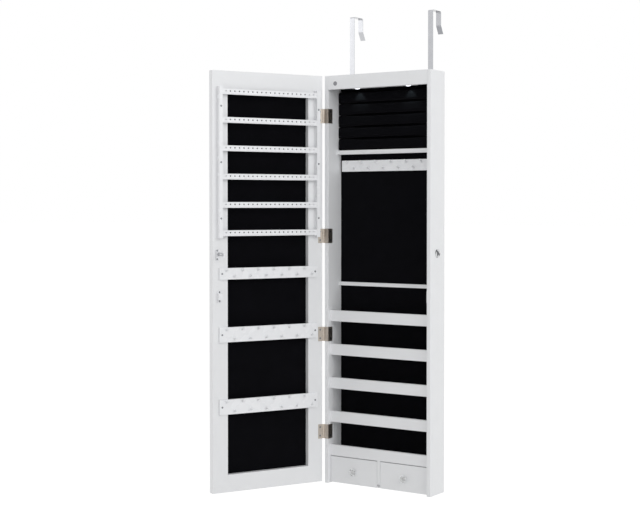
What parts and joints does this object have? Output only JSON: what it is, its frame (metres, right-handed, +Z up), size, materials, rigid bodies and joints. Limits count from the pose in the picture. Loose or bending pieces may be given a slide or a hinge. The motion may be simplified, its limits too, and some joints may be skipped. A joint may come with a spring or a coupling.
{
  "type": "over-the-door mirror jewelry cabinet",
  "caption": "Tall white over-the-door jewelry cabinet with a mirrored door, earring rack, necklace hooks, ring cushion, shelves, drawers and a cam lock.",
  "frame": {"origin": "middle of the cabinet's back face, half way up the cabinet", "axes": "+X to the cabinet's right seen from the front, +Y out of its back face, +Z up"},
  "size_m": [0.5398, 0.4645, 1.379],
  "materials": {
    "white_lacquer": "white satin lacquer on fibreboard",
    "white_plastic": "white moulded plastic",
    "catch_plastic": "white moulded plastic with a magnet inside",
    "black_velvet": "black velvet",
    "mirror_glass": "silvered glass",
    "clear_acrylic": "clear faceted acrylic",
    "lamp_lens": "frosted clear plastic",
    "dark_plastic": "dark grey moulded plastic",
    "chrome_steel": "polished chrome plate",
    "zinc_steel": "bright zinc plate",
    "hinge_steel": "satin nickel plate"
  },
  "bodies": {
    "cabinet": {"side_panel_left": "white_lacquer", "side_panel_right": "white_lacquer", "top_panel": "white_lacquer", "bottom_panel": "white_lacquer", "top_rail": "white_lacquer", "back_panel": "white_lacquer", "back_liner": "black_velvet", "ring_shelf": "white_lacquer", "ring_cushion": "black_velvet", "necklace_batten": "white_lacquer", "shelf_board_1": "white_lacquer", "shelf_lip_1": "white_lacquer", "shelf_board_2": "white_lacquer", "shelf_lip_2": "white_lacquer", "shelf_board_3": "white_lacquer", "shelf_lip_3": "white_lacquer", "shelf_board_4": "white_lacquer", "shelf_lip_4": "white_lacquer", "shelf_board_5": "white_lacquer", "shelf_lip_5": "white_lacquer", "drawer_divider": "white_lacquer", "necklace_bar": "white_plastic", "light_housing": "white_plastic", "light_cover": "white_plastic", "light_lenses": "lamp_lens", "switch_body": "dark_plastic", "lock_barrel": "chrome_steel", "lock_nut": "chrome_steel", "catch_plate": "zinc_steel", "hinge_cabinet_leaves": "hinge_steel", "hinge_pins": "hinge_steel", "over_door_hook_left": "chrome_steel", "over_door_hook_right": "chrome_steel", "cabinet_screws": "zinc_steel"},
    "door": {"door_stile_hinge": "white_lacquer", "door_stile_free": "white_lacquer", "door_rail_top": "white_lacquer", "door_rail_bottom": "white_lacquer", "door_mirror": "mirror_glass", "door_liner": "black_velvet", "rack_cheek_hinge": "white_plastic", "rack_cheek_free": "white_plastic", "rack_rails": "white_plastic", "hook_bar_1": "white_plastic", "hook_bar_2": "white_plastic", "hook_bar_3": "white_plastic", "strike": "zinc_steel", "catch_magnet": "catch_plastic", "hinge_door_leaves": "hinge_steel", "rack_screws": "zinc_steel", "door_screws": "zinc_steel"},
    "drawer_left": {"drawer_left_front": "white_lacquer", "drawer_left_tray": "white_lacquer", "drawer_left_knob": "clear_acrylic"},
    "drawer_right": {"drawer_right_front": "white_lacquer", "drawer_right_tray": "white_lacquer", "drawer_right_knob": "clear_acrylic"},
    "lock_cam": {"lock_plug": "chrome_steel", "lock_cam": "chrome_steel"},
    "switch_button": {"switch_button": "dark_plastic"}
  },
  "joints": [
    {"name": "door_hinge", "type": "hinge", "parent": "cabinet", "child": "door", "pos_m": [-0.1817, -0.0815, 0], "axis": [0, 0, -1], "range_deg": [-116, 64]},
    {"name": "drawer_left_slide", "type": "slide", "parent": "cabinet", "child": "drawer_left", "axis": [0, -1, 0], "range_m": [0, 0.036]},
    {"name": "drawer_right_slide", "type": "slide", "parent": "cabinet", "child": "drawer_right", "axis": [0, -1, 0], "range_m": [0, 0.036]},
    {"name": "lock_turn", "type": "hinge", "parent": "cabinet", "child": "lock_cam", "pos_m": [0.17, -0.041, 0.084], "axis": [1, 0, 0], "range_deg": [0, 90]},
    {"name": "switch_press", "type": "slide", "parent": "cabinet", "child": "switch_button", "axis": [0, 1, 0], "range_m": [0, 0.0016], "stiffness_N_per_m": 400}
  ]
}
